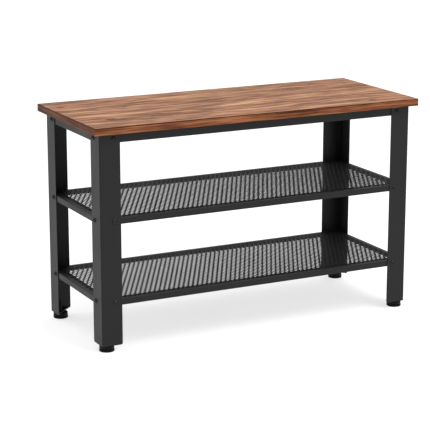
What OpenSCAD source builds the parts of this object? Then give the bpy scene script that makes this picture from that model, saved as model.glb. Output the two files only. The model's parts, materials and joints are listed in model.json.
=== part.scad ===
// Entryway bench: a wood-look seat board on a black steel frame with two expanded-metal shelves.
// Millimetres. The origin is on the floor under the middle of the seat. +X runs along the seat,
// +Y runs to the back and +Z is up. The front is at -Y, and left and right are as seen from there.

/* [Overall] */
// Length of the seat board
seat_l = 736.6; // [600:0.1:1200]
// Depth of the seat board
seat_w = 304.8; // [250:0.1:450]
// Height of the seat's top above the floor
seat_h = 457.2; // [400:0.1:520]

/* [Seat board] */
// Thickness of the board
seat_t = 15; // [12:0.5:25]
// Thickness of the band glued round the board's edge
band_t = 1; // [0.5:0.1:2]
// How far the board reaches past the legs at each end
overhang_end = 14; // [8:0.5:40]
// How far the board reaches past the legs at the front and back
overhang_side = 13; // [8:0.5:40]

/* [Legs] */
// Width of each flange of a leg angle
leg_flange = 44; // [38:0.5:60]
// Thickness of the leg's sheet steel
leg_t = 1.5; // [1.2:0.1:3]
// Outer radius of the bend along a leg's corner
leg_bend = 3; // [2.5:0.1:5]
// Height of a leg's lower end above the floor
leg_lift = 13; // [12:0.5:20]
// Radius of the rounded lower corner of each flange
leg_corner_r = 4; // [2:0.5:8]

/* [Frames] */
// Height of the rails under the seat
seat_rail_h = 19; // [16:0.5:30]
// Height of the shelf rails
shelf_rail_h = 12.5; // [12.5:0.5:25]
// Width of every rail's flat top flange
rail_flange = 20; // [18:0.5:30]
// Thickness of the rails' sheet steel
rail_t = 1.2; // [1:0.1:1.5]
// Height of the underside of the upper shelf's rails above the floor
upper_shelf_z = 260.3; // [230:0.1:320]
// Height of the underside of the lower shelf's rails above the floor
lower_shelf_z = 95; // [60:0.1:140]

/* [Shelf mesh] */
// Width of one diamond of the mesh, along the shelf
mesh_pitch_x = 10.8; // [8:0.1:30]
// Length of one diamond of the mesh, from front to back
mesh_pitch_y = 20; // [14:0.1:50]
// Width of the metal strands between the diamonds
mesh_strand = 2.2; // [1.5:0.1:4]
// Thickness of the mesh sheet
mesh_t = 0.8; // [0.6:0.1:2]
// Plain strip of rail that is left outside the mesh sheet
mesh_margin = 10; // [6:0.5:14]

/* [Fasteners] */
// Diameter of the frame bolts
bolt_d = 6; // [5:1:6]
// Length of a frame bolt under its head
bolt_l = 10; // [9:1:16]
// Distance from a leg's outer corner to each bolt
bolt_inset = 30; // [24:0.5:34]
// Depth of the seat frame's bolts below the board
seat_bolt_drop = 11; // [9:0.5:11]
// Diameter of the wood screws that hold the board
screw_d = 4; // [3:0.5:5]
// Length of a wood screw inside the board
screw_bite = 11; // [8:0.5:11.5]

/* [Levelling feet] */
// Diameter of a foot's plastic pad
pad_d = 31; // [24:0.5:36]
// Height of a foot's plastic pad
pad_h = 12.5; // [11:0.5:12.5]
// Height of a foot's stud above its pad
stud_rise = 24; // [20:1:30]
// Distance from a leg's outer faces to the middle of its foot
foot_inset = 15.5; // [14:0.5:18]
// Thickness of the corner plate that holds a foot
plate_t = 3; // [2:0.5:5]

/* [Hidden] */
$fn = 48;

steel_black = [0.16, 0.16, 0.17];
mesh_black = [0.11, 0.11, 0.12];
laminate_brown = [0.55, 0.33, 0.22];
band_brown = [0.48, 0.24, 0.15];
plastic_black = [0.06, 0.06, 0.06];
zinc_grey = [0.62, 0.63, 0.65];
plated_black = [0.24, 0.24, 0.25];

// Length that a cutting solid runs past the face it cuts
past = 1;
seat_bottom = seat_h - seat_t;
// Outer faces of the legs
leg_x = seat_l / 2 - overhang_end;
leg_y = seat_w / 2 - overhang_side;
leg_l = seat_bottom - leg_lift;
// Outside size of the three rail frames, which fit inside the legs
frame_l = 2 * (leg_x - leg_t);
frame_w = 2 * (leg_y - leg_t);
// Cut corner of a rail frame, clear of the bend inside the leg
frame_corner = 2;
seat_rail_z = seat_bottom - seat_rail_h;
seat_bolt_z = seat_bottom - seat_bolt_drop;
upper_bolt_z = upper_shelf_z + shelf_rail_h / 2;
lower_bolt_z = lower_shelf_z + shelf_rail_h / 2;

bolt_hole_d = bolt_d + 0.4;
head_d = 1.75 * bolt_d;
head_h = 0.5 * bolt_d;
// Sphere that gives a domed head its height and width
head_ball = (pow(head_d / 2, 2) + pow(head_h, 2)) / (2 * head_h);
socket_across = bolt_d * 2 / 3;
socket_depth = bolt_d / 3;
nut_across = bolt_d + 4;
nut_h = 5;
thread_gap = 0.05;

screw_head_d = 2 * screw_d;
screw_head_h = 0.6 * screw_d;
screw_clear = 0.2;
// Depth of a pilot hole past the screw's tip
pilot_spare = 0.5;
// Places of the screws along the front and back rails
screw_row = [-0.37 * seat_l, 0, 0.37 * seat_l];

stud_d = bolt_d;
running_gap = 0.06;
// Depth of the stud inside the pad
stud_seat = 8;
// Depth of the pad's socket past the stud's end
socket_spare = 0.2;
stud_chamfer = 0.8;
pad_foot_h = 4.5;
pad_step = 0.9;
pad_edge = 1.2;

// ---- Placing ----

// A child drawn at a frame corner with its flanges toward +X and +Y is turned to the corner
// on side sx (-1 left, 1 right) and sy (-1 front, 1 back)
module at_corner(sx, sy) {
    translate([sx * leg_x, sy * leg_y, 0])
        mirror([sx > 0 ? 1 : 0, 0, 0])
        mirror([0, sy > 0 ? 1 : 0, 0])
        children();
}

// The eight bolt places of one frame, with +Z out of the leg
module at_bolts(z) {
    for (sx = [-1, 1], sy = [-1, 1]) {
        translate([sx * (leg_x - bolt_inset), sy * leg_y, z])
            rotate([-sy * 90, 0, 0])
            children();
        translate([sx * leg_x, sy * (leg_y - bolt_inset), z])
            rotate([0, sx * 90, 0])
            rotate(90)
            children();
    }
}

// The eight screw places under the seat, at the underside of the board
module at_screws() {
    for (sy = [-1, 1], x = screw_row)
        translate([x, sy * (frame_w / 2 - rail_flange / 2), seat_bottom]) children();
    for (sx = [-1, 1])
        translate([sx * (frame_l / 2 - rail_flange / 2), 0, seat_bottom]) children();
}

// ---- Seat board ----

// Board with a pilot hole for each wood screw
module seat_panel() {
    color(laminate_brown)
    difference() {
        translate([-seat_l / 2 + band_t, -seat_w / 2 + band_t, seat_bottom])
            cube([seat_l - 2 * band_t, seat_w - 2 * band_t, seat_t]);
        at_screws()
            translate([0, 0, -past])
            cylinder(h = screw_bite + pilot_spare + past, d = screw_d + 2 * thread_gap);
    }
}

// Band along the front or back edge, over the full length
module long_band(sy) {
    color(band_brown)
    translate([-seat_l / 2, sy * (seat_w - band_t) / 2 - band_t / 2, seat_bottom])
        cube([seat_l, band_t, seat_t]);
}

// Band on an end, between the two long bands
module end_band(sx) {
    color(band_brown)
    translate([sx * (seat_l - band_t) / 2 - band_t / 2, -seat_w / 2 + band_t, seat_bottom])
        cube([band_t, seat_w - 2 * band_t, seat_t]);
}

module seat_band_front() { long_band(-1); }
module seat_band_back() { long_band(1); }
module seat_band_left() { end_band(-1); }
module seat_band_right() { end_band(1); }

// ---- Legs ----

// Section of a bent angle with its outer corner at the origin
module angle_section(flange, t, bend) {
    translate([bend, 0]) square([flange - bend, t]);
    translate([0, bend]) square([t, flange - bend]);
    translate([bend, bend])
        difference() {
            intersection() {
                circle(r = bend);
                translate([-bend, -bend]) square(bend);
            }
            circle(r = bend - t);
        }
}

// Material outside the rounded lower corner of a flange that lies along X
module flange_corner_cut() {
    translate([leg_flange - leg_corner_r, -past, -past])
        difference() {
            cube([leg_corner_r + past, leg_t + 2 * past, leg_corner_r + past]);
            translate([0, -past, leg_corner_r + past])
                rotate([-90, 0, 0])
                cylinder(h = leg_t + 4 * past, r = leg_corner_r);
        }
}

// Holes of one flange that lies along X
module flange_holes() {
    for (z = [seat_bolt_z, upper_bolt_z, lower_bolt_z])
        translate([bolt_inset, -past, z - leg_lift])
            rotate([-90, 0, 0])
            cylinder(h = leg_t + 2 * past, d = bolt_hole_d);
}

module leg(sx, sy) {
    color(steel_black)
    at_corner(sx, sy)
    translate([0, 0, leg_lift])
    difference() {
        linear_extrude(leg_l) angle_section(leg_flange, leg_t, leg_bend);
        flange_corner_cut();
        flange_holes();
        mirror([1, -1, 0]) {
            flange_corner_cut();
            flange_holes();
        }
    }
}

module leg_front_left() { leg(-1, -1); }
module leg_front_right() { leg(1, -1); }
module leg_back_left() { leg(-1, 1); }
module leg_back_right() { leg(1, 1); }

// ---- Levelling feet ----

// Triangular plate welded across the lower end of a leg, tapped for the foot's stud
module foot_plate(sx, sy) {
    reach = leg_flange - leg_corner_r;
    color(steel_black)
    at_corner(sx, sy)
    translate([0, 0, leg_lift])
    difference() {
        linear_extrude(plate_t)
            polygon([[leg_bend, leg_t], [reach, leg_t], [leg_t, reach], [leg_t, leg_bend]]);
        translate([foot_inset, foot_inset, -past])
            cylinder(h = plate_t + 2 * past, d = stud_d + 2 * running_gap);
    }
}

module foot_plate_front_left() { foot_plate(-1, -1); }
module foot_plate_front_right() { foot_plate(1, -1); }
module foot_plate_back_left() { foot_plate(-1, 1); }
module foot_plate_back_right() { foot_plate(1, 1); }

// Stud with a chamfered tip
module foot_stud(sx, sy) {
    stud_l = stud_seat + stud_rise;
    color(plated_black)
    at_corner(sx, sy)
    translate([foot_inset, foot_inset, pad_h - stud_seat])
    rotate_extrude()
    polygon([
        [0, 0], [stud_d / 2, 0], [stud_d / 2, stud_l - stud_chamfer],
        [stud_d / 2 - stud_chamfer, stud_l], [0, stud_l]
    ]);
}

module foot_stud_front_left() { foot_stud(-1, -1); }
module foot_stud_front_right() { foot_stud(1, -1); }
module foot_stud_back_left() { foot_stud(-1, 1); }
module foot_stud_back_right() { foot_stud(1, 1); }

// Pad with a wider foot ring, and a socket for the stud
module foot_pad(sx, sy) {
    r = pad_d / 2;
    hub_r = r - pad_step;
    socket_r = stud_d / 2 + running_gap;
    socket_z = pad_h - stud_seat - socket_spare;
    color(plastic_black)
    at_corner(sx, sy)
    translate([foot_inset, foot_inset, 0])
    rotate_extrude()
    polygon([
        [0, 0], [r - pad_edge, 0], [r, pad_edge], [r, pad_foot_h],
        [hub_r, pad_foot_h + pad_step], [hub_r - pad_step / 2, pad_h - pad_edge],
        [hub_r - pad_step / 2 - pad_edge, pad_h], [socket_r, pad_h],
        [socket_r, socket_z], [0, socket_z]
    ]);
}

module foot_pad_front_left() { foot_pad(-1, -1); }
module foot_pad_front_right() { foot_pad(1, -1); }
module foot_pad_back_left() { foot_pad(-1, 1); }
module foot_pad_back_right() { foot_pad(1, 1); }

// ---- Rail frames ----

// Plan of a mitred rail whose outer edge lies on Y = 0
function rail_plan(l) = [
    [-l / 2 + frame_corner, 0], [l / 2 - frame_corner, 0],
    [l / 2 - frame_corner / 2, frame_corner / 2], [l / 2 - rail_flange, rail_flange],
    [-l / 2 + rail_flange, rail_flange], [-l / 2 + frame_corner / 2, frame_corner / 2]
];

// Angle rail along X: an upright wall on Y = 0 and a flat flange on top, with two bolt holes
module angle_rail(l, h, bolt_z) {
    difference() {
        linear_extrude(h) polygon(rail_plan(l));
        translate([-l / 2, rail_t, -past])
            cube([l, rail_flange, h - rail_t + past]);
        for (sx = [-1, 1])
            translate([sx * (l / 2 + leg_t - bolt_inset), -past, bolt_z])
                rotate([-90, 0, 0])
                cylinder(h = rail_t + 2 * past, d = bolt_hole_d);
    }
}

// Rail on the front (sy -1) or back (sy 1) of a frame
module long_rail(sy, h, bolt_z) {
    translate([0, sy * frame_w / 2, 0])
        rotate(sy > 0 ? 180 : 0)
        angle_rail(frame_l, h, bolt_z);
}

// Rail on the left (sx -1) or right (sx 1) end of a frame
module end_rail(sx, h, bolt_z) {
    translate([sx * frame_l / 2, 0, 0])
        rotate(sx * 90)
        angle_rail(frame_w, h, bolt_z);
}

// Screw holes through the flanges of the seat rails
module seat_rail_holes() {
    at_screws()
        translate([0, 0, -rail_t - past])
        cylinder(h = rail_t + 2 * past, d = screw_d + 2 * screw_clear);
}

module seat_rail_long(sy) {
    color(steel_black)
    difference() {
        translate([0, 0, seat_rail_z]) long_rail(sy, seat_rail_h, seat_rail_h - seat_bolt_drop);
        seat_rail_holes();
    }
}

module seat_rail_end(sx) {
    color(steel_black)
    difference() {
        translate([0, 0, seat_rail_z]) end_rail(sx, seat_rail_h, seat_rail_h - seat_bolt_drop);
        seat_rail_holes();
    }
}

module seat_rail_front() { seat_rail_long(-1); }
module seat_rail_back() { seat_rail_long(1); }
module seat_rail_left() { seat_rail_end(-1); }
module seat_rail_right() { seat_rail_end(1); }

module shelf_rail_long(sy, z) {
    color(steel_black)
    translate([0, 0, z]) long_rail(sy, shelf_rail_h, shelf_rail_h / 2);
}

module shelf_rail_end(sx, z) {
    color(steel_black)
    translate([0, 0, z]) end_rail(sx, shelf_rail_h, shelf_rail_h / 2);
}

module upper_shelf_rail_front() { shelf_rail_long(-1, upper_shelf_z); }
module upper_shelf_rail_back() { shelf_rail_long(1, upper_shelf_z); }
module upper_shelf_rail_left() { shelf_rail_end(-1, upper_shelf_z); }
module upper_shelf_rail_right() { shelf_rail_end(1, upper_shelf_z); }
module lower_shelf_rail_front() { shelf_rail_long(-1, lower_shelf_z); }
module lower_shelf_rail_back() { shelf_rail_long(1, lower_shelf_z); }
module lower_shelf_rail_left() { shelf_rail_end(-1, lower_shelf_z); }
module lower_shelf_rail_right() { shelf_rail_end(1, lower_shelf_z); }

// ---- Shelf mesh ----

// One diamond opening
module diamond() {
    strand_angle = atan(mesh_pitch_x / mesh_pitch_y);
    half_x = mesh_pitch_x / 2 - mesh_strand / (2 * cos(strand_angle));
    half_y = half_x * mesh_pitch_y / mesh_pitch_x;
    polygon([[half_x, 0], [0, half_y], [-half_x, 0], [0, -half_y]]);
}

// Grid of diamonds, nx by ny, centred on the origin
module diamond_grid(nx, ny) {
    for (i = [0 : nx - 1], j = [0 : ny - 1])
        translate([(i - (nx - 1) / 2) * mesh_pitch_x, (j - (ny - 1) / 2) * mesh_pitch_y])
            diamond();
}

// Flat sheet with two interleaved grids of diamonds
module shelf_mesh(z) {
    sheet_l = frame_l - 2 * mesh_margin;
    sheet_w = frame_w - 2 * mesh_margin;
    nx = floor(sheet_l / mesh_pitch_x) - 1;
    ny = floor(sheet_w / mesh_pitch_y) - 1;
    color(mesh_black)
    translate([0, 0, z + shelf_rail_h])
    linear_extrude(mesh_t)
    difference() {
        square([sheet_l, sheet_w], center = true);
        diamond_grid(nx, ny);
        diamond_grid(nx - 1, ny - 1);
    }
}

module upper_shelf_mesh() { shelf_mesh(upper_shelf_z); }
module lower_shelf_mesh() { shelf_mesh(lower_shelf_z); }

// ---- Fasteners ----

// Button-head bolt with a hexagon socket, its head seated on Z = 0
module button_bolt() {
    difference() {
        union() {
            intersection() {
                translate([0, 0, head_h - head_ball]) sphere(r = head_ball);
                cylinder(h = head_h, d = head_d);
            }
            translate([0, 0, -bolt_l]) cylinder(h = bolt_l, d = bolt_d);
        }
        translate([0, 0, head_h - socket_depth])
            cylinder(h = socket_depth + past, d = socket_across / cos(30), $fn = 6);
    }
}

// Hexagon nut welded to the inside of a rail
module weld_nut() {
    translate([0, 0, -leg_t - rail_t - nut_h])
        difference() {
            cylinder(h = nut_h, d = nut_across / cos(30), $fn = 6);
            translate([0, 0, -past]) cylinder(h = nut_h + 2 * past, d = bolt_d + 2 * thread_gap);
        }
}

// Pan-head wood screw driven up into the board
module wood_screw() {
    translate([0, 0, -rail_t]) cylinder(h = screw_bite + rail_t, d = screw_d);
    translate([0, 0, -rail_t - screw_head_h]) cylinder(h = screw_head_h, d = screw_head_d);
}

module seat_frame_bolts() { color(steel_black) at_bolts(seat_bolt_z) button_bolt(); }
module upper_shelf_bolts() { color(steel_black) at_bolts(upper_bolt_z) button_bolt(); }
module lower_shelf_bolts() { color(steel_black) at_bolts(lower_bolt_z) button_bolt(); }
module seat_frame_nuts() { color(steel_black) at_bolts(seat_bolt_z) weld_nut(); }
module upper_shelf_nuts() { color(steel_black) at_bolts(upper_bolt_z) weld_nut(); }
module lower_shelf_nuts() { color(steel_black) at_bolts(lower_bolt_z) weld_nut(); }
module seat_screws() { color(zinc_grey) at_screws() wood_screw(); }

seat_panel();
seat_band_front();
seat_band_back();
seat_band_left();
seat_band_right();
leg_front_left();
leg_front_right();
leg_back_left();
leg_back_right();
foot_plate_front_left();
foot_plate_front_right();
foot_plate_back_left();
foot_plate_back_right();
foot_stud_front_left();
foot_stud_front_right();
foot_stud_back_left();
foot_stud_back_right();
foot_pad_front_left();
foot_pad_front_right();
foot_pad_back_left();
foot_pad_back_right();
seat_rail_front();
seat_rail_back();
seat_rail_left();
seat_rail_right();
upper_shelf_rail_front();
upper_shelf_rail_back();
upper_shelf_rail_left();
upper_shelf_rail_right();
upper_shelf_mesh();
lower_shelf_rail_front();
lower_shelf_rail_back();
lower_shelf_rail_left();
lower_shelf_rail_right();
lower_shelf_mesh();
seat_frame_bolts();
upper_shelf_bolts();
lower_shelf_bolts();
seat_frame_nuts();
upper_shelf_nuts();
lower_shelf_nuts();
seat_screws();
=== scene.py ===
# %% [markdown]
# # Entryway bench
# A low bench to sit on while shoes go on: a wood-look board on a frame of bent and welded steel angles,
# with two shelves of expanded metal and four screw-in feet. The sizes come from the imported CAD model, which
# is loaded first and never changed. Every piece below is drawn in its place, in metres, with the origin on
# the floor under the middle of the board, +X along the board, +Y to the back and +Z up.

# %% Load the frame
import json
import math

import bmesh
import bpy
from mathutils import Matrix, Vector

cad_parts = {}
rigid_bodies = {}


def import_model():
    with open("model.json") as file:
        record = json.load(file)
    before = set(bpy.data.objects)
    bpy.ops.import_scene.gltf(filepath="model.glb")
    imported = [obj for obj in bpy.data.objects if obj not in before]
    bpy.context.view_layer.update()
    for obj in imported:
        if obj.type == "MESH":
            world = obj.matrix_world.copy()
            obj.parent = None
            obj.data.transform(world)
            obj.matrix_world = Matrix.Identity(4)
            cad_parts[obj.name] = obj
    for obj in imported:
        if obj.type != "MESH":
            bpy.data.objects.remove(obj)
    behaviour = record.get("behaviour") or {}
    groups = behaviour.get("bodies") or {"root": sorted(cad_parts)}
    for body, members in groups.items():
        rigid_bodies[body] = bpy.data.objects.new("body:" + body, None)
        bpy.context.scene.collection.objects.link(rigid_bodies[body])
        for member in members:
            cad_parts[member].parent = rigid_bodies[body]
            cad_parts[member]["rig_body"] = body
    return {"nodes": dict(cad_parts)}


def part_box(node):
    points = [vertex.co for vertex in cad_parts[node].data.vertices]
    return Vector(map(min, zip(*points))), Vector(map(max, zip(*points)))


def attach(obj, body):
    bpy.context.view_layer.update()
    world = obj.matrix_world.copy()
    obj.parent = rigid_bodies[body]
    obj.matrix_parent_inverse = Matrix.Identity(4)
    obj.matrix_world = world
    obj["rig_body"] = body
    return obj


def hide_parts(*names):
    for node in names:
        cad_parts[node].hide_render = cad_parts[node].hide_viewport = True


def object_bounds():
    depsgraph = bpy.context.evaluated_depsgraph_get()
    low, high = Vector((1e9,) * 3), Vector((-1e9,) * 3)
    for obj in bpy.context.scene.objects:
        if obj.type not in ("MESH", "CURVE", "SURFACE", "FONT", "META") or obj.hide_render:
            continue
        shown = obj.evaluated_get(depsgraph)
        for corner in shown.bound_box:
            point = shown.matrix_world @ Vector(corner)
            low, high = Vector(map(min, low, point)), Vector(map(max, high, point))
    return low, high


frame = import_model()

cad_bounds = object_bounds()
mm = 0.001

# %% [markdown]
# ## Camera
# The bench is looked at from its left front corner, from a little above the board, with a long lens, so its
# upright legs stay nearly parallel. The camera is only a place, a point to look at and a lens. A camera in
# Blender looks along its own -Z, so `to_track_quat` turns that axis toward the point.

# %% Place the camera
camera_place = Vector((-1.555, -2.999, 1.057))
camera_target = Vector((-0.034, 0.0, 0.2165))

lens = bpy.data.cameras.new("camera")
lens.sensor_width = 36
lens.lens = 137.5
camera = bpy.data.objects.new("camera", lens)
camera.location = camera_place
camera.rotation_euler = (camera_target - camera_place).to_track_quat("-Z", "Y").to_euler()
bpy.context.scene.collection.objects.link(camera)
bpy.context.scene.camera = camera
print("camera distance:", round((camera_target - camera_place).length, 3), "m")

# %% [markdown]
# ## Writing materials as arithmetic
# A procedural material is a graph of small nodes. Adding them one by one hides what they mean, so a thin
# class wraps an output socket and lets `+`, `-` and `*` add the Math nodes. The reflected forms make
# `0.5 * mask` work as well. Any other node comes from `Finish.node`, which sets the node's own settings first,
# because they decide which sockets it has.

# %% Sockets that take part in arithmetic
class Value:
    """An output socket of a finish. Arithmetic on it adds Math nodes."""

    def __init__(self, finish, socket):
        self.finish = finish
        self.socket = socket

    def math(self, operation, first, second):
        return self.finish.node("ShaderNodeMath", {"operation": operation}, {0: first, 1: second})

    def __add__(self, other):
        return self.math("ADD", self, other)

    def __sub__(self, other):
        return self.math("SUBTRACT", self, other)

    def __mul__(self, other):
        return self.math("MULTIPLY", self, other)

    __radd__ = __add__
    __rmul__ = __mul__


# %% A finish is a material with a short way to add nodes
class Finish:
    """A node material with the Principled shader."""

    def __init__(self, name):
        self.material = bpy.data.materials.new(name)
        self.material.use_nodes = True
        self.tree = self.material.node_tree
        self.shader = self.tree.nodes["Principled BSDF"]

    def node(self, kind, settings=None, inputs=None, output=0):
        """Adds a node: its settings first, then a value or a link for each named or numbered socket."""
        node = self.tree.nodes.new(kind)
        for key, value in (settings or {}).items():
            if key == "stops":
                self.set_stops(node.color_ramp, value)
            else:
                setattr(node, key, value)
        for key, value in (inputs or {}).items():
            self.plug(node.inputs[key], value)
        return Value(self, node.outputs[output])

    def set_stops(self, ramp, stops):
        while len(ramp.elements) < len(stops):
            ramp.elements.new(1.0)
        for element, (place, color) in zip(ramp.elements, stops):
            element.position = place
            element.color = (*color, 1.0)

    def plug(self, socket, value):
        if isinstance(value, Value):
            self.tree.links.new(value.socket, socket)
        else:
            socket.default_value = value

    def set(self, values):
        """Sets or links the shader's sockets, by their names in Blender."""
        for key, value in values.items():
            self.plug(self.shader.inputs[key], value)

    def coordinates(self, scale=(1, 1, 1)):
        """The piece's own coordinates in metres, stretched."""
        point = self.node("ShaderNodeTexCoord", output="Object")
        return self.node("ShaderNodeMapping", None, {"Vector": point, "Scale": scale})

    def noise(self, vector, scale=1.0, detail=2.0, roughness=0.5):
        return self.node("ShaderNodeTexNoise", None, {
            "Vector": vector, "Scale": scale, "Detail": detail, "Roughness": roughness})

    def spread(self, value, low, high, to_low=0.0, to_high=1.0):
        """Stretches low..high to to_low..to_high, and clamps what is outside."""
        return self.node("ShaderNodeMapRange", {"clamp": True}, {
            "Value": value, "From Min": low, "From Max": high, "To Min": to_low, "To Max": to_high})

    def ramp(self, value, stops):
        return self.node("ShaderNodeValToRGB", {"stops": stops}, {"Fac": value})

    def mix(self, factor, first, second):
        """Mixes two colours. The numbers are the Mix node's colour sockets."""
        return self.node("ShaderNodeMix", {"data_type": "RGBA"}, {0: factor, 6: first, 7: second}, output=2)

    def height_of(self, point):
        return self.node("ShaderNodeSeparateXYZ", None, {0: point}, output="Z")

    def bump(self, height, depth):
        """A bump whose height 0..1 stands for a depth in metres."""
        return self.node("ShaderNodeBump", None, {"Height": height, "Distance": depth, "Strength": 1.0})


print("finish helpers ready")

# %% [markdown]
# ## Powder coat
# The steel is sprayed with dry black powder and baked, which leaves a satin skin about 0.08 mm thick. Close
# up it isn't flat: it has a fine orange-peel ripple, and its gloss drifts a little over a hand's width. An
# image of paint would do for one view only, so both come from noise in the piece's own coordinates: a coarse
# noise for the drift, and a noise of about a millimetre for the ripple, as bump. The mesh gets a thinner and
# duller skin than the frame, since powder hardly settles on narrow strands, and a darker tone that is painted
# shade.

# %% Powder coat, also for the mesh
def powder_coat(name, tone, gloss_low, gloss_high, ripple, shine):
    """Baked powder: its grey tone, the range of its roughness, the depth of its peel and its shine."""
    finish = Finish(name)
    place = finish.coordinates()
    cloud = finish.noise(place, scale=9, detail=3)
    peel = finish.noise(place, scale=900, detail=2, roughness=0.45)
    speck = finish.spread(finish.noise(place, scale=2600, detail=0), 0.70, 0.78)
    dark, light, glint = (
        [tone * share for share in shares] for shares in ((0.88, 0.88, 0.88), (1.12, 1.12, 1.15), (2.2, 2.2, 2.3)))
    shade = finish.ramp(cloud, [(0.3, dark), (0.7, light)])
    base = finish.mix(speck * 0.5, shade, (*glint, 1))
    finish.set({
        "Base Color": base,
        "Roughness": finish.spread(cloud + 0.25 * (peel - 0.5), 0.3, 0.7, gloss_low, gloss_high),
        "Normal": finish.bump(peel, ripple),
        "Specular IOR Level": shine,
    })
    return finish.material


frame_coat = powder_coat("frame_powder_coat", 0.009, 0.42, 0.52, 0.030 * mm, 0.25)
# The mesh coat's darker tone, 0.006 against the frame's 0.009, is painted shade.
shaded_mesh_coat = powder_coat("mesh_powder_coat", 0.006, 0.46, 0.56, 0.015 * mm, 0.12)
print("coats:", frame_coat.name, shaded_mesh_coat.name)

# %% [markdown]
# ## Black and bright hardware
# The frame bolts and the threaded rods of the feet are plated black, which is a thin dark metal skin and not a
# paint, so it shines a little sharper than the coat. The wood screws under the board are bright zinc, with the
# cloudy, slightly blue look of a plating bath. One function makes both, since only tone and gloss differ.

# %% Plated steel
def plated_steel(name, dark, light, metallic, gloss_low, gloss_high):
    finish = Finish(name)
    place = finish.coordinates()
    bloom = finish.noise(place, scale=260, detail=4, roughness=0.6)
    grain = finish.noise(place, scale=3200, detail=1)
    finish.set({
        "Base Color": finish.ramp(bloom, [(0.3, dark), (0.7, light)]),
        "Roughness": finish.spread(bloom + 0.5 * (grain - 0.5), 0.25, 0.75, gloss_low, gloss_high),
        "Normal": finish.bump(grain, 0.006 * mm),
        "Metallic": metallic,
    })
    return finish.material


black_plate = plated_steel(
    "black_plated_steel", (0.012, 0.012, 0.013), (0.024, 0.024, 0.026), 0.6, 0.34, 0.46)
bright_zinc = plated_steel(
    "bright_zinc_plate", (0.52, 0.54, 0.57), (0.70, 0.71, 0.72), 1.0, 0.24, 0.40)
print("plated:", black_plate.name, bright_zinc.name)

# %% [markdown]
# ## Moulded plastic
# The pads of the feet are moulded in black plastic from a tool with a spark-eroded skin: a dull, very fine
# grain. Close to the floor the plastic is scuffed a little lighter, so the colour follows the height.

# %% Moulded pads
def moulded_plastic(name):
    finish = Finish(name)
    place = finish.coordinates()
    height = finish.height_of(place)
    cloud = finish.noise(place, scale=120, detail=3)
    grain = finish.noise(place, scale=2400, detail=2)
    scuff = finish.spread(height, 3.0 * mm, 0.0) * finish.spread(cloud, 0.45, 0.65)
    finish.set({
        "Base Color": finish.mix(scuff * 0.5, (0.004, 0.004, 0.0045, 1), (0.018, 0.0175, 0.017, 1)),
        "Roughness": finish.spread(cloud, 0.3, 0.7, 0.42, 0.56),
        "Normal": finish.bump(grain, 0.020 * mm),
        "Specular IOR Level": 0.10,
    })
    return finish.material


pad_plastic = moulded_plastic("moulded_black_plastic")
print("plastic:", pad_plastic.name)

# %% [markdown]
# ## Wood-grain laminate
# The board is chipboard under a printed paper that is pressed on with resin: a picture of reddish brown wood,
# with long tan streaks, greyer clouds and short dark pores, and a shallow pressed grain. Wood is long along the
# board, so each noise is stretched: a few repeats a metre along X and many along Y. A slow noise first bends the
# lines sideways, then four layers from wide to fine are added up and coloured by one ramp. Noise alone would put
# its streaks anywhere, so the broad tan and dark streaks and the knots are also placed one by one, as soft
# ellipses whose edges are frayed by the same noise.

# %% Streaks of printed grain
# Repeats a metre along the grain and across it, and the detail of the noise, from wide bands to fine pores.
grain_repeats = ((3, 30, 3), (8, 95, 3), (20, 310, 3), (60, 1300, 1))


def grain_layers(finish, along, across, bend):
    """Streaks that run along one axis, from wide to fine, as values around 0."""
    drift = finish.noise(finish.coordinates([1.8 * a + 3.5 * c for a, c in zip(along, across)]), detail=1)
    shift = finish.node("ShaderNodeVectorMath", {"operation": "SCALE"},
                        {0: across, "Scale": bend * (drift - 0.5)})
    point = finish.node("ShaderNodeVectorMath", {"operation": "ADD"}, {0: finish.coordinates(), 1: shift})
    layers = []
    for repeats_along, repeats_across, detail in grain_repeats:
        scale = [repeats_along * a + repeats_across * c for a, c in zip(along, across)]
        stretched = finish.node("ShaderNodeMapping", None, {"Vector": point, "Scale": scale})
        layers.append(finish.noise(stretched, detail=detail) - 0.5)
    return point, layers


# %% Soft marks at listed places
def soft_marks(finish, point, marks):
    """Adds up soft ellipses: middle, half length and half width in mm, tilt in degrees and strength."""
    total = 0.0
    through_board = 100
    for x, y, half_length, half_width, tilt, strength in marks:
        local = finish.node("ShaderNodeMapping", {"vector_type": "TEXTURE"}, {
            "Vector": point, "Location": (x * mm, y * mm, 0), "Rotation": (0, 0, math.radians(tilt)),
            "Scale": (half_length * mm, half_width * mm, through_board)})
        mark = finish.node("ShaderNodeTexGradient", {"gradient_type": "SPHERICAL"}, {"Vector": local}, "Fac")
        total = total + strength * mark
    return total


tan_streaks = [
    (-262, -33, 140, 15, 1, 0.9), (-70, 88, 120, 18, 1, 1.0), (10, -30, 130, 15, 7, 1.0),
    (12, -88, 125, 12, 0, 1.0), (-330, 62, 60, 9, 0, 0.6), (-95, 122, 80, 8, 2, 0.5),
    (250, -30, 150, 16, -1, 0.35), (200, 90, 150, 22, 1, 0.35), (-150, -58, 70, 7, 0, 0.5)]
dark_streaks = [
    (-25, 28, 110, 9, 8, 1.0), (0, -8, 110, 7, 8, 0.7), (-75, -62, 55, 8, 2, 0.8),
    (85, -50, 45, 12, 3, 0.7), (90, 104, 70, 10, 0, 0.6), (20, -135, 70, 8, 1, 0.5),
    (340, 40, 60, 14, 3, 0.6), (-270, 100, 90, 9, -1, 0.4), (190, 35, 150, 8, 1, 0.4)]
knots = [
    (-301, -76, 17, 8, 3, 1.2), (-213, -78, 13, 7, 5, 0.9), (274, -118, 17, 8, 0, 1.2),
    (-220, 46, 13, 8, 2, 0.8), (-342, 97, 16, 9, 0, 0.8), (355, 36, 14, 9, 0, 0.8), (-352, 34, 12, 9, 0, 0.6)]
print("soft marks:", len(tan_streaks) + len(dark_streaks) + len(knots))


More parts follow.
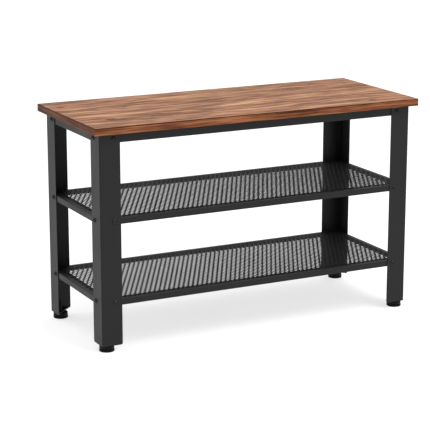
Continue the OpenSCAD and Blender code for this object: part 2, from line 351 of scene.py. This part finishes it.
# %% Laminate of the board
def board_laminate(name):
    finish = Finish(name)
    point, (band, streak, line, pore) = grain_layers(finish, (1, 0, 0), (0, 1, 0), 0.05)
    fray = 1.8 * streak + 1.6 * line
    tan = finish.spread(soft_marks(finish, point, tan_streaks) + fray, 0.16, 0.70)
    dark = finish.spread(soft_marks(finish, point, dark_streaks) + 0.8 * fray, 0.26, 0.66)
    knot = finish.spread(soft_marks(finish, point, knots) + 0.6 * fray, 0.26, 0.60)
    tone = 0.5 + 1.0 * band + 1.5 * streak + 1.5 * line
    wood = finish.ramp(tone, [
        (0.10, (0.110, 0.052, 0.031)), (0.40, (0.245, 0.119, 0.070)),
        (0.60, (0.330, 0.165, 0.098)), (0.90, (0.520, 0.285, 0.175))])
    warm = finish.mix(tan * 0.8, wood, (0.620, 0.335, 0.180, 1))
    worn = finish.mix(dark * 0.8, warm, (0.090, 0.062, 0.050, 1))
    knotted = finish.mix(knot * 0.85, worn, (0.050, 0.036, 0.031, 1))
    pores = finish.spread(pore, 0.10, 0.22)
    finish.set({
        "Base Color": finish.mix(pores * 0.4, knotted, (0.110, 0.050, 0.028, 1)),
        "Roughness": finish.spread(tone, 0.2, 0.8, 0.66, 0.56),
        "Normal": finish.bump(0.5 + line - pores * 0.5, 0.05 * mm),
        "Specular IOR Level": 0.06,
    })
    return finish.material


top_laminate = board_laminate("board_laminate")

# %% [markdown]
# The band round the board is a strip of the same family, printed with straighter and darker lines. Its long
# strips are redder, and its short ones are greyer and darker: partly their own tone and partly painted shade
# of the ends, so the same function is used twice with two sets of tones.
# Just below the top arris the band is darker.

# %% Laminate of the edge band
def band_laminate(name, along, tones):
    finish = Finish(name)
    point, (band, streak, line, pore) = grain_layers(finish, along, (0, 0, 1), 0.004)
    fine_place = finish.node("ShaderNodeMapping", None, {
        "Vector": point, "Scale": [4 * a + 290 * c for a, c in zip(along, (0, 0, 1))]})
    fine = finish.noise(fine_place, detail=3) - 0.5
    height = finish.height_of(finish.coordinates())
    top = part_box("seat_band_front")[1].z
    # Darker over the top 2.6 mm of the band, most of all in the last 1.2 mm.
    arris = finish.spread(height, top - 2.6 * mm, top - 1.2 * mm)
    tone = 0.5 + 1.4 * fine + 0.8 * line + 0.4 * streak - 0.30 * arris
    dark, middle, light = tones
    finish.set({
        "Base Color": finish.ramp(tone, [(0.24, dark), (0.50, middle), (0.76, light)]),
        "Roughness": 0.5,
        "Normal": finish.bump(fine + 0.5, 0.03 * mm),
        "Specular IOR Level": 0.06,
    })
    return finish.material


long_band = band_laminate("long_band_laminate", (1, 0, 0), (
    (0.060, 0.018, 0.008), (0.180, 0.060, 0.025), (0.330, 0.130, 0.060)))
# The end strips' darker tones are partly painted shade.
shaded_end_band = band_laminate("end_band_laminate_shaded", (0, 1, 0), (
    (0.045, 0.017, 0.008), (0.108, 0.041, 0.019), (0.175, 0.072, 0.036)))
print("laminates:", top_laminate.name, long_band.name, shaded_end_band.name)

# %% [markdown]
# ## From a bmesh to a piece
# Every piece ends the same way: double points are merged, the faces are turned outward, and the mesh goes into
# an object that stays at the origin, so the piece's place is in its mesh. Then it is told which CAD body it
# rides on and which CAD node it stands for.

# %% Small helpers for a bmesh
def mesh_of(bm, name):
    """Writes a bmesh into a new mesh and frees it."""
    mesh = bpy.data.meshes.new(name)
    bm.to_mesh(mesh)
    bm.free()
    return mesh


def everything(bm):
    return bm.verts[:] + bm.edges[:] + bm.faces[:]


def add_copy(bm, geometry, step):
    """Adds a moved copy of some geometry."""
    copy = bmesh.ops.duplicate(bm, geom=geometry)["geom"]
    bmesh.ops.translate(bm, vec=step, verts=[g for g in copy if isinstance(g, bmesh.types.BMVert)])


def trim(bm, point, outward):
    """Cuts off everything beyond a plane."""
    bmesh.ops.bisect_plane(bm, geom=everything(bm), dist=0.001 * mm, plane_co=point, plane_no=outward,
                           clear_outer=True)


# %% Finish a piece
def make_piece(name, bm, material):
    """Turns a bmesh into an object at the origin."""
    bmesh.ops.remove_doubles(bm, verts=bm.verts, dist=0.001 * mm)
    bmesh.ops.recalc_face_normals(bm, faces=bm.faces)
    mesh = mesh_of(bm, name)
    mesh.shade_smooth()
    mesh.materials.append(material)
    piece = bpy.data.objects.new(name, mesh)
    bpy.context.scene.collection.objects.link(piece)
    return piece


def soften(piece, width, segments=2, limit=30):
    """Rounds the sharp edges a little, then keeps the flat faces looking flat."""
    bevel = piece.modifiers.new("soft_edges", "BEVEL")
    bevel.width = width
    bevel.segments = segments
    bevel.limit_method = "ANGLE"
    bevel.angle_limit = math.radians(limit)
    bevel.use_clamp_overlap = False
    piece.modifiers.new("flat_faces", "WEIGHTED_NORMAL").keep_sharp = True
    return piece


def stand_for(piece, node):
    """The piece rides on the node's body and replaces it."""
    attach(piece, frame["nodes"][node]["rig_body"])
    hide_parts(node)


# %% [markdown]
# ## Seat board and its edge band
# The board is a slab, and the band is four strips glued round it: two long ones over the full length and two
# short ones between them. A cube stretched to the CAD box gives each, and a bevel makes the difference: the
# outer arris of the strips is eased by hand, and the joints between strip and board are only a hairline.

# %% Make the board and the strips
def box_bmesh(low, high):
    """A closed box between two corners."""
    bm = bmesh.new()
    bmesh.ops.create_cube(bm, size=1)
    bmesh.ops.scale(bm, vec=high - low, verts=bm.verts)
    bmesh.ops.translate(bm, vec=(low + high) / 2, verts=bm.verts)
    return bm


board_parts = [("seat_panel", top_laminate, 0.12 * mm)]
board_parts += [(f"seat_band_{side}", long_band, 0.45 * mm) for side in ("front", "back")]
board_parts += [(f"seat_band_{side}", shaded_end_band, 0.45 * mm) for side in ("left", "right")]
for node, material, arris in board_parts:
    piece = make_piece(f"{node}_laminated", box_bmesh(*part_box(node)), material)
    stand_for(soften(piece, arris, segments=3), node)

# %% [markdown]
# ## Bent legs, rails and corner plates
# These are sheet steel, cut, punched and bent, and the CAD model already has their true shape with the bend
# and the bolt holes. What it lacks is the softness of a coated edge: powder rounds every cut edge to about a
# third of a millimetre, and that thin line of light is what makes steel look like steel. So each node's mesh
# is copied, its loose triangles are merged, its flat faces are joined, and a bevel rounds its sharp edges. The
# long outer arris of a rail gets a larger radius first, because there the sheet was bent and not cut.

# %% Copy a CAD shape as clean faces
def cad_bmesh(node):
    bm = bmesh.new()
    bm.from_mesh(frame["nodes"][node].data)
    bmesh.ops.remove_doubles(bm, verts=bm.verts, dist=0.005 * mm)
    bmesh.ops.dissolve_limit(bm, angle_limit=math.radians(0.5), verts=bm.verts, edges=bm.edges)
    return bm


def round_bend(bm, node, radius=1.4 * mm):
    """Rounds the long outer arris of a rail, where the sheet was bent."""
    low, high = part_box(node)
    side = node.rsplit("_", 1)[1]
    axis = 1 if side in ("front", "back") else 0
    face = low[axis] if side in ("front", "left") else high[axis]
    near = 0.01 * mm
    arris = [e for e in bm.edges if all(
        abs(v.co.z - high.z) < near and abs(v.co[axis] - face) < near for v in e.verts)]
    bmesh.ops.bevel(bm, geom=arris, affect="EDGES", offset=radius, offset_type="OFFSET", segments=5,
                    profile=0.5, material=-1)
    return bm


corners = [(f"{y_name}_{x_name}", sx, sy) for x_name, sx in (("left", -1), ("right", 1))
           for y_name, sy in (("front", -1), ("back", 1))]
frames = ("seat", "upper_shelf", "lower_shelf")
steel_nodes = [f"leg_{corner}" for corner, sx, sy in corners]
steel_nodes += [f"foot_plate_{corner}" for corner, sx, sy in corners]
rail_nodes = [f"{level}_rail_{side}" for level in frames for side in ("front", "back", "left", "right")]
for node in steel_nodes:
    stand_for(soften(make_piece(f"{node}_coated", cad_bmesh(node), frame_coat), 0.3 * mm), node)
for node in rail_nodes:
    bm = round_bend(cad_bmesh(node), node)
    stand_for(soften(make_piece(f"{node}_coated", bm, frame_coat), 0.25 * mm), node)
print("sheet-steel pieces:", len(steel_nodes) + len(rail_nodes))

# %% [markdown]
# ## Expanded-metal shelves
# The shelf sheet is made by slitting thin steel in staggered rows and pulling it sideways, so the slits open
# into diamonds and the strands between them tilt like louvres. A flat sheet with holes would look dead. The
# same three steps are done here on one knuckle, the place where four strands meet: a small grid is slit along
# its middle at both ends, tilted, and its four arms are pulled apart. Copies of it in two interleaved grids
# meet arm to arm. The sheet is trimmed, and Solidify gives it the thickness of the steel.

# %% Slit, tilt and pull one knuckle
strand_w = 3.35 * mm
steel_t = 0.8 * mm
strand_tilt = math.radians(3.5)
knuckle_half = 1.6 * mm
diamond_width, diamond_length = 10.8 * mm, 20 * mm


def knuckle_mesh(pitch_x, pitch_y):
    """One knuckle with its four half strands, without thickness, around the origin."""
    bm = bmesh.new()
    bmesh.ops.create_grid(bm, x_segments=2, y_segments=3, size=1)
    outer_rows = [v for v in bm.verts if abs(v.co.y) > 0.5]
    for v in bm.verts:
        v.co.x *= strand_w
        v.co.y = math.copysign(pitch_y / 4 if v in outer_rows else knuckle_half, v.co.y)
    slits = [e for e in bm.edges if all(abs(v.co.x) < strand_w / 2 for v in e.verts)
             and any(v in outer_rows for v in e.verts)]
    bmesh.ops.split_edges(bm, edges=slits)
    arms = {-1: set(), 1: set()}
    for face in bm.faces:
        side = 1 if face.calc_center_median().x > 0 else -1
        arms[side].update(v for v in face.verts if abs(v.co.y) > knuckle_half * 1.1)
    bmesh.ops.rotate(bm, matrix=Matrix.Rotation(-strand_tilt, 3, "Y"), verts=bm.verts)
    half_w = strand_w / 2
    reach = Vector((pitch_x / 4 - half_w * math.cos(strand_tilt), 0, -half_w * math.sin(strand_tilt)))
    for side, verts in arms.items():
        bmesh.ops.translate(bm, vec=side * reach, verts=list(verts))
    return mesh_of(bm, "knuckle")


# %% Repeat the knuckle and trim the sheet
def repeat(bm, step, count):
    """Adds copies of everything, each one step further."""
    geometry = everything(bm)
    for index in range(1, count):
        add_copy(bm, geometry, Vector(step) * index)


def expanded_sheet(low, high):
    """The trimmed sheet without thickness, centred between the corners, with its strands on height 0."""
    size = high - low
    columns, rows = math.ceil(size.x / diamond_width), math.ceil(size.y / diamond_length)
    pitch_x, pitch_y = size.x / columns, size.y / rows
    bm = bmesh.new()
    bm.from_mesh(knuckle_mesh(pitch_x, pitch_y))
    bmesh.ops.translate(bm, vec=(-size.x / 2, -size.y / 2, 0), verts=bm.verts)
    add_copy(bm, everything(bm), Vector((pitch_x / 2, pitch_y / 2, 0)))
    repeat(bm, (pitch_x, 0, 0), columns + 1)
    repeat(bm, (0, pitch_y, 0), rows + 1)
    bmesh.ops.remove_doubles(bm, verts=bm.verts, dist=0.01 * mm)
    for normal, reach in (((1, 0, 0), size.x / 2), ((0, 1, 0), size.y / 2)):
        for side in (-1, 1):
            trim(bm, side * reach * Vector(normal), side * Vector(normal))
    bmesh.ops.translate(bm, vec=(low + high) / 2 * Vector((1, 1, 0)), verts=bm.verts)
    return bm, columns, rows


# %% Make both shelves
for level in ("upper_shelf", "lower_shelf"):
    node = f"{level}_mesh"
    low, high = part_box(node)
    bm, columns, rows = expanded_sheet(low, high)
    rise = strand_w * math.sin(strand_tilt) + steel_t / 2 * math.cos(strand_tilt)
    bmesh.ops.translate(bm, vec=(0, 0, low.z + rise), verts=bm.verts)
    piece = make_piece(f"{node}_expanded", bm, shaded_mesh_coat)
    thickness = piece.modifiers.new("steel_thickness", "SOLIDIFY")
    thickness.thickness = steel_t
    thickness.offset = 0
    thickness.use_even_offset = True
    stand_for(soften(piece, 0.12 * mm, segments=1, limit=40), node)
    print(node, "diamonds:", columns, "x", rows, "faces before thickness:", len(piece.data.polygons))

# %% [markdown]
# ## Turned parts and screw threads
# Bolts, screws, rods and pads are all round, so each starts as a half outline that is spun round the Z axis.
# A screw thread is the same spin with a rise: one tooth of the thread goes round while it climbs, and the end of
# one turn lands on the start of the next. The `dvec` of `bmesh.ops.spin` is the rise of one step.

# %% Spin an outline, with or without a rise
def spin_outline(bm, outline, steps=32, turns=1, rise=0.0):
    """Spins points (radius, height) round Z. A rise for each turn makes a helix."""
    verts = [bm.verts.new((radius, 0, height)) for radius, height in outline]
    edges = [bm.edges.new(pair) for pair in zip(verts, verts[1:])]
    bmesh.ops.spin(bm, geom=verts + edges, cent=(0, 0, 0), axis=(0, 0, 1), dvec=(0, 0, rise / steps),
                   angle=2 * math.pi * turns, steps=steps * turns, use_merge=rise == 0, use_duplicate=False)
    bmesh.ops.remove_doubles(bm, verts=bm.verts, dist=0.002 * mm)


thread_depth = 0.61
tooth_steps = (0.125, 0.45, 0.575)


def threaded_rod(radius, low, high, pitch, point=0.0):
    """A rod with a real thread between two heights, its upper end turned to a blunt point.

    The depth of the thread and the corners of its tooth are shares of the pitch.
    """
    bm = bmesh.new()
    root = radius - thread_depth * pitch
    start = low - pitch
    turns = math.ceil((high - start) / pitch) + 1
    foot, crest, fall = (start + share * pitch for share in tooth_steps)
    tooth = [(root, start), (root, foot), (radius, crest), (radius, fall), (root, start + pitch)]
    spin_outline(bm, tooth, steps=16, turns=turns, rise=pitch)
    for height, side in ((low, -1), (high, 1)):
        trim(bm, (0, 0, height), (0, 0, side))
        rim = [e for e in bm.edges
               if e.is_boundary and all(abs(v.co.z - height) < 0.002 * mm for v in e.verts)]
        bmesh.ops.contextual_create(bm, geom=rim)
    for v in bm.verts:
        allowed = radius - max(0.0, v.co.z - (high - point))
        across = math.hypot(v.co.x, v.co.y)
        if across > allowed:
            v.co.x *= allowed / across
            v.co.y *= allowed / across
    return mesh_of(bm, "threaded_rod")


print("spin helpers ready")

# %% [markdown]
# ## Heads with a socket
# A button head is a dome with a hexagon socket, and a pan head has a cross. Cutting the socket with a boolean
# leaves ragged faces, so the recess is grown instead: the spun dome is left open at the top, the outline of the
# socket is drawn inside the opening with as many points as the dome has, once at its rim and once at its floor,
# and each loop is joined to the next point by point.

# %% Grow a socket inside a spun head
def outline_points(corners, count):
    """Points along a closed outline, the same number on every side."""
    share = count // len(corners)
    return [Vector(start).lerp(Vector(end), k / share)
            for start, end in zip(corners, corners[1:] + corners[:1]) for k in range(share)]


def head_mesh(outline, corners, rim, depth, taper, around=24):
    """A spun head whose open top is joined to a socket: its rim, its wall and its floor."""
    bm = bmesh.new()
    spin_outline(bm, outline, steps=around)
    first = math.atan2(corners[0][1], corners[0][0]) - math.pi / around
    loops = [sorted((v for v in bm.verts if v.is_boundary),
                    key=lambda v: (math.atan2(v.co.y, v.co.x) - first) % (2 * math.pi))]
    for height, size in ((rim, 1.0), (rim - depth, taper)):
        loops.append([bm.verts.new((size * p.x, size * p.y, height)) for p in outline_points(corners, around)])
    for outer, inner in zip(loops, loops[1:]):
        for k in range(around):
            bm.faces.new((outer[k - 1], outer[k], inner[k], inner[k - 1]))
    bm.faces.new(loops[-1])
    return mesh_of(bm, "head")


# %% Outlines of the button head and the pan head
def dome(radius, edge, crown, open_radius, steps=7):
    """Half outline of a domed head on height 0: its flat seat, a low edge and a curve up to the opening."""
    points = [(0.0, 0.0), (radius - 0.15 * mm, 0.0), (radius, 0.15 * mm), (radius, edge)]
    for index in range(1, steps + 1):
        across = radius + (open_radius - radius) * index / steps
        share = (radius ** 2 - across ** 2) / (radius ** 2 - open_radius ** 2)
        points.append((across, edge + (crown - edge) * share))
    return points


def hexagon(across_flats):
    radius = across_flats / 2 / math.cos(math.radians(30))
    angles = [math.radians(60 * k) for k in range(6)]
    return [(radius * math.cos(angle), radius * math.sin(angle)) for angle in angles]


def cross(reach, half_width):
    """The twelve corners of a plus, starting on its right arm."""
    arm = [(reach, -half_width), (reach, half_width), (half_width, half_width)]
    corners = []
    for quarter in range(4):
        turn = Matrix.Rotation(math.radians(90 * quarter), 2)
        corners += [tuple(turn @ Vector(corner)) for corner in arm]
    return corners


bolt_head = head_mesh(dome(5.25 * mm, 0.5 * mm, 2.85 * mm, 2.75 * mm), hexagon(4 * mm),
                      rim=2.65 * mm, depth=1.9 * mm, taper=0.96)
screw_head = head_mesh(dome(4.0 * mm, 0.9 * mm, 2.4 * mm, 2.3 * mm), cross(1.9 * mm, 0.45 * mm),
                       rim=2.35 * mm, depth=1.5 * mm, taper=0.5)
bolt_rod = threaded_rod(2.95 * mm, -10 * mm, 0.2 * mm, 1 * mm)
print("faces of a bolt:", len(bolt_head.polygons) + len(bolt_rod.polygons))

# %% [markdown]
# ## Setting the fasteners
# Each frame is held by eight bolts, two in every leg, and each bolt runs into a nut that was welded inside the
# rail before coating, so the nuts are black too. All eight copies are stamped into one piece, as the CAD node
# holds them. A real screwdriver never stops at the same angle twice, so every copy is turned by a different
# amount, worked out from its number and therefore the same on each run.

# %% Stamp a shape at many places
golden_angle = math.radians(137.5)


def stamp(bm, shapes, places):
    """Adds the shapes at each place and direction, each copy turned by its own angle."""
    for index, (place, outward) in enumerate(places):
        toward = Vector((0, 0, 1)).rotation_difference(outward).to_matrix().to_4x4()
        turn = Matrix.Rotation(index * golden_angle, 4, "Z")
        for shape in shapes:
            start = len(bm.verts)
            bm.from_mesh(shape)
            bm.verts.ensure_lookup_table()
            bmesh.ops.transform(bm, matrix=Matrix.Translation(place) @ toward @ turn, verts=bm.verts[start:])


bolt_inset = 30 * mm
leg_low, leg_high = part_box("leg_front_left")[0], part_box("leg_back_right")[1]


def bolt_places(height):
    """Two bolts in each leg, one through each of its flanges, with the direction out of the leg."""
    places = []
    for corner, sx, sy in corners:
        x, y = sx * leg_high.x, sy * leg_high.y
        places.append((Vector((x - sx * bolt_inset, y, height)), Vector((0, sy, 0))))
        places.append((Vector((x, y - sy * bolt_inset, height)), Vector((sx, 0, 0))))
    return places


# %% Nuts with chamfered corners
def nut_mesh(across_flats, height, bore, around=36):
    """A hexagon nut on height 0. It is spun round, then its outer rings are pushed out to the hexagon."""
    bm = bmesh.new()
    flat = across_flats / 2
    ring = flat * 0.95
    outline = [(bore, 0.4 * mm), (bore + 0.4 * mm, 0.0), (ring, 0.0), (flat, 0.2 * mm), (flat, height - 0.2 * mm),
               (ring, height), (bore + 0.4 * mm, height), (bore, height - 0.4 * mm), (bore, 0.4 * mm)]
    spin_outline(bm, outline, steps=around)
    for v in bm.verts:
        if math.hypot(v.co.x, v.co.y) > (flat + ring) / 2:
            angle = math.atan2(v.co.y, v.co.x) % math.radians(60) - math.radians(30)
            grow = 1 / math.cos(angle)
            middle = height / 2
            slope = (flat * grow - ring) * math.tan(math.radians(30))
            v.co.z = middle + math.copysign(middle - slope, v.co.z - middle)
            v.co.x *= grow
            v.co.y *= grow
    return mesh_of(bm, "nut")


nut_height = 5 * mm
sheets = 2.7 * mm
nut = nut_mesh(10 * mm, nut_height, 2.96 * mm)
nut.transform(Matrix.Translation((0, 0, -sheets - nut_height)))
for level in ("seat_frame", "upper_shelf", "lower_shelf"):
    low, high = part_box(f"{level}_bolts")
    places = bolt_places((low.z + high.z) / 2)
    for node, shapes, material in ((f"{level}_bolts", (bolt_head, bolt_rod), black_plate),
                                   (f"{level}_nuts", (nut,), frame_coat)):
        bm = bmesh.new()
        stamp(bm, shapes, places)
        piece = make_piece(f"{node}_set", bm, material)
        stand_for(piece, node)
        print(node, "solids:", len(places), "faces:", len(piece.data.polygons))

# %% Wood screws under the board
board_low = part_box("seat_panel")[0]
front_low, front_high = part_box("seat_rail_front")
left_low, left_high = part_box("seat_rail_left")
screw_share = 0.37
screw_x = screw_share * (cad_bounds[1][0] - cad_bounds[0][0])
flange_y = (front_low.y + front_high.y) / 2
flange_x = (left_low.x + left_high.x) / 2
rail_t = 1.2 * mm
screw_spots = [(x, side * flange_y) for side in (1, -1) for x in (-screw_x, 0, screw_x)]
screw_spots += [(side * flange_x, 0) for side in (1, -1)]
screw_places = [(Vector((x, y, board_low.z - rail_t)), Vector((0, 0, -1))) for x, y in screw_spots]
screw_rod = threaded_rod(2 * mm, -12.2 * mm, 0.2 * mm, 1.4 * mm)
bm = bmesh.new()
stamp(bm, (screw_head, screw_rod), screw_places)
stand_for(make_piece("seat_screws_set", bm, bright_zinc), "seat_screws")
print("wood screws:", len(screw_places))

# %% [markdown]
# ## Levelling feet
# Each foot is a threaded rod moulded into a plastic pad, and it screws up through the plate in the corner of the
# leg. The rod keeps its real thread, because it stands free above the plate. The pad is one spun outline: a wide
# ring that stands on the floor, a shallow groove, and a body that narrows a little to the top.

# %% Make the rods and pads
def arc(middle, radius, start, end, steps):
    """Points of an arc in the outline, by its angles in degrees."""
    turns = [math.radians(start + (end - start) * k / steps) for k in range(steps + 1)]
    return [(middle[0] + radius * math.cos(a), middle[1] + radius * math.sin(a)) for a in turns]


def pad_outline(radius, height, rod):
    """Half outline of a pad: hollow sole, floor ring, groove, body and the collar that holds the rod."""
    ring_h = 4.5 * mm
    body = radius - 0.3 * mm
    groove = radius - 1.3 * mm
    outline = [(0, 1.0 * mm), (radius - 5 * mm, 1.0 * mm), (radius - 4.2 * mm, 0)]
    outline += arc((radius - 1.2 * mm, 1.2 * mm), 1.2 * mm, -90, 0, 4)
    outline += arc((radius - 0.5 * mm, ring_h - 0.5 * mm), 0.5 * mm, 0, 90, 3)
    outline += [(groove, ring_h), (groove, ring_h + 0.7 * mm), (body, ring_h + 0.9 * mm)]
    outline += arc((body - 1.7 * mm, height - 1.5 * mm), 1.5 * mm, 0, 90, 5)
    outline += [(7.5 * mm, height), (7.0 * mm, height - 0.6 * mm), (5.2 * mm, height - 0.6 * mm),
                (4.8 * mm, height), (rod, height), (rod, height - 7 * mm), (0, height - 7 * mm)]
    return outline


for corner, sx, sy in corners:
    pad_low, pad_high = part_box(f"foot_pad_{corner}")
    rod_low, rod_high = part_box(f"foot_stud_{corner}")
    centre = Vector(((pad_low.x + pad_high.x) / 2, (pad_low.y + pad_high.y) / 2, 0))
    bm = bmesh.new()
    spin_outline(bm, pad_outline((pad_high.x - pad_low.x) / 2, pad_high.z, 3.05 * mm), steps=64)
    bmesh.ops.translate(bm, vec=centre, verts=bm.verts)
    stand_for(make_piece(f"foot_pad_{corner}_moulded", bm, pad_plastic), f"foot_pad_{corner}")
    rod = threaded_rod((rod_high.x - rod_low.x) / 2, rod_low.z + 2 * mm, rod_high.z, 1 * mm, point=0.8 * mm)
    bm = bmesh.new()
    bm.from_mesh(rod)
    bmesh.ops.translate(bm, vec=centre, verts=bm.verts)
    stand_for(make_piece(f"foot_stud_{corner}_threaded", bm, black_plate), f"foot_stud_{corner}")
print("feet:", len(corners), "rod faces:", len(rod.polygons))

# %% [markdown]
# ## Floor and light
# The bench stands on a plain white floor. The light is that of a white studio: the room is brightest overhead and
# dims to the horizon, and one large soft lamp stands in front, to the right and high. The floor glows a little of
# its own accord, which keeps the shadow under the shelves as pale as a bright room does, and which lights the
# left faces of the legs from below, so they are lighter than the fronts.

# %% The white floor
floor_glow = 0.63
floor_half = 30
floor_finish = Finish("pale_floor")
dust = floor_finish.noise(floor_finish.coordinates(), scale=3, detail=2)
floor_finish.set({
    "Base Color": floor_finish.ramp(dust, [(0.3, (0.46, 0.46, 0.46)), (0.7, (0.48, 0.48, 0.48))]),
    "Roughness": 0.9, "Specular IOR Level": 0.0, "Emission Color": (1, 1, 1, 1), "Emission Strength": floor_glow})
bm = bmesh.new()
bmesh.ops.create_grid(bm, x_segments=1, y_segments=1, size=floor_half)
floor = make_piece("floor", bm, floor_finish.material)
print("floor side:", 2 * floor_half, "m")

# %% The white room and the soft lamp
horizon_glow, overhead_glow = 0.25, 1.5
world = bpy.data.worlds.new("white_room")
world.use_nodes = True
sky = world.node_tree
heading = sky.nodes.new("ShaderNodeTexCoord")
parts = sky.nodes.new("ShaderNodeSeparateXYZ")
glow = sky.nodes.new("ShaderNodeMapRange")
glow.inputs["To Min"].default_value = horizon_glow
glow.inputs["To Max"].default_value = overhead_glow
sky.links.new(heading.outputs["Generated"], parts.inputs[0])
sky.links.new(parts.outputs["Z"], glow.inputs["Value"])
sky.links.new(glow.outputs[0], sky.nodes["Background"].inputs["Strength"])
sky.nodes["Background"].inputs["Color"].default_value = (1, 1, 1, 1)
bpy.context.scene.world = world


def soft_lamp(name, place, target, size, power):
    lamp = bpy.data.lights.new(name, "AREA")
    lamp.shape = "SQUARE"
    lamp.size = size
    lamp.energy = power
    holder = bpy.data.objects.new(name, lamp)
    holder.location = place
    holder.rotation_euler = (Vector(target) - Vector(place)).to_track_quat("-Z", "Y").to_euler()
    bpy.context.scene.collection.objects.link(holder)


soft_lamp("front_right_lamp", place=(0.9, -1.8, 2.8), target=(0, 0, 0.2), size=1.6, power=45)
bpy.context.scene.view_settings.view_transform = "Standard"
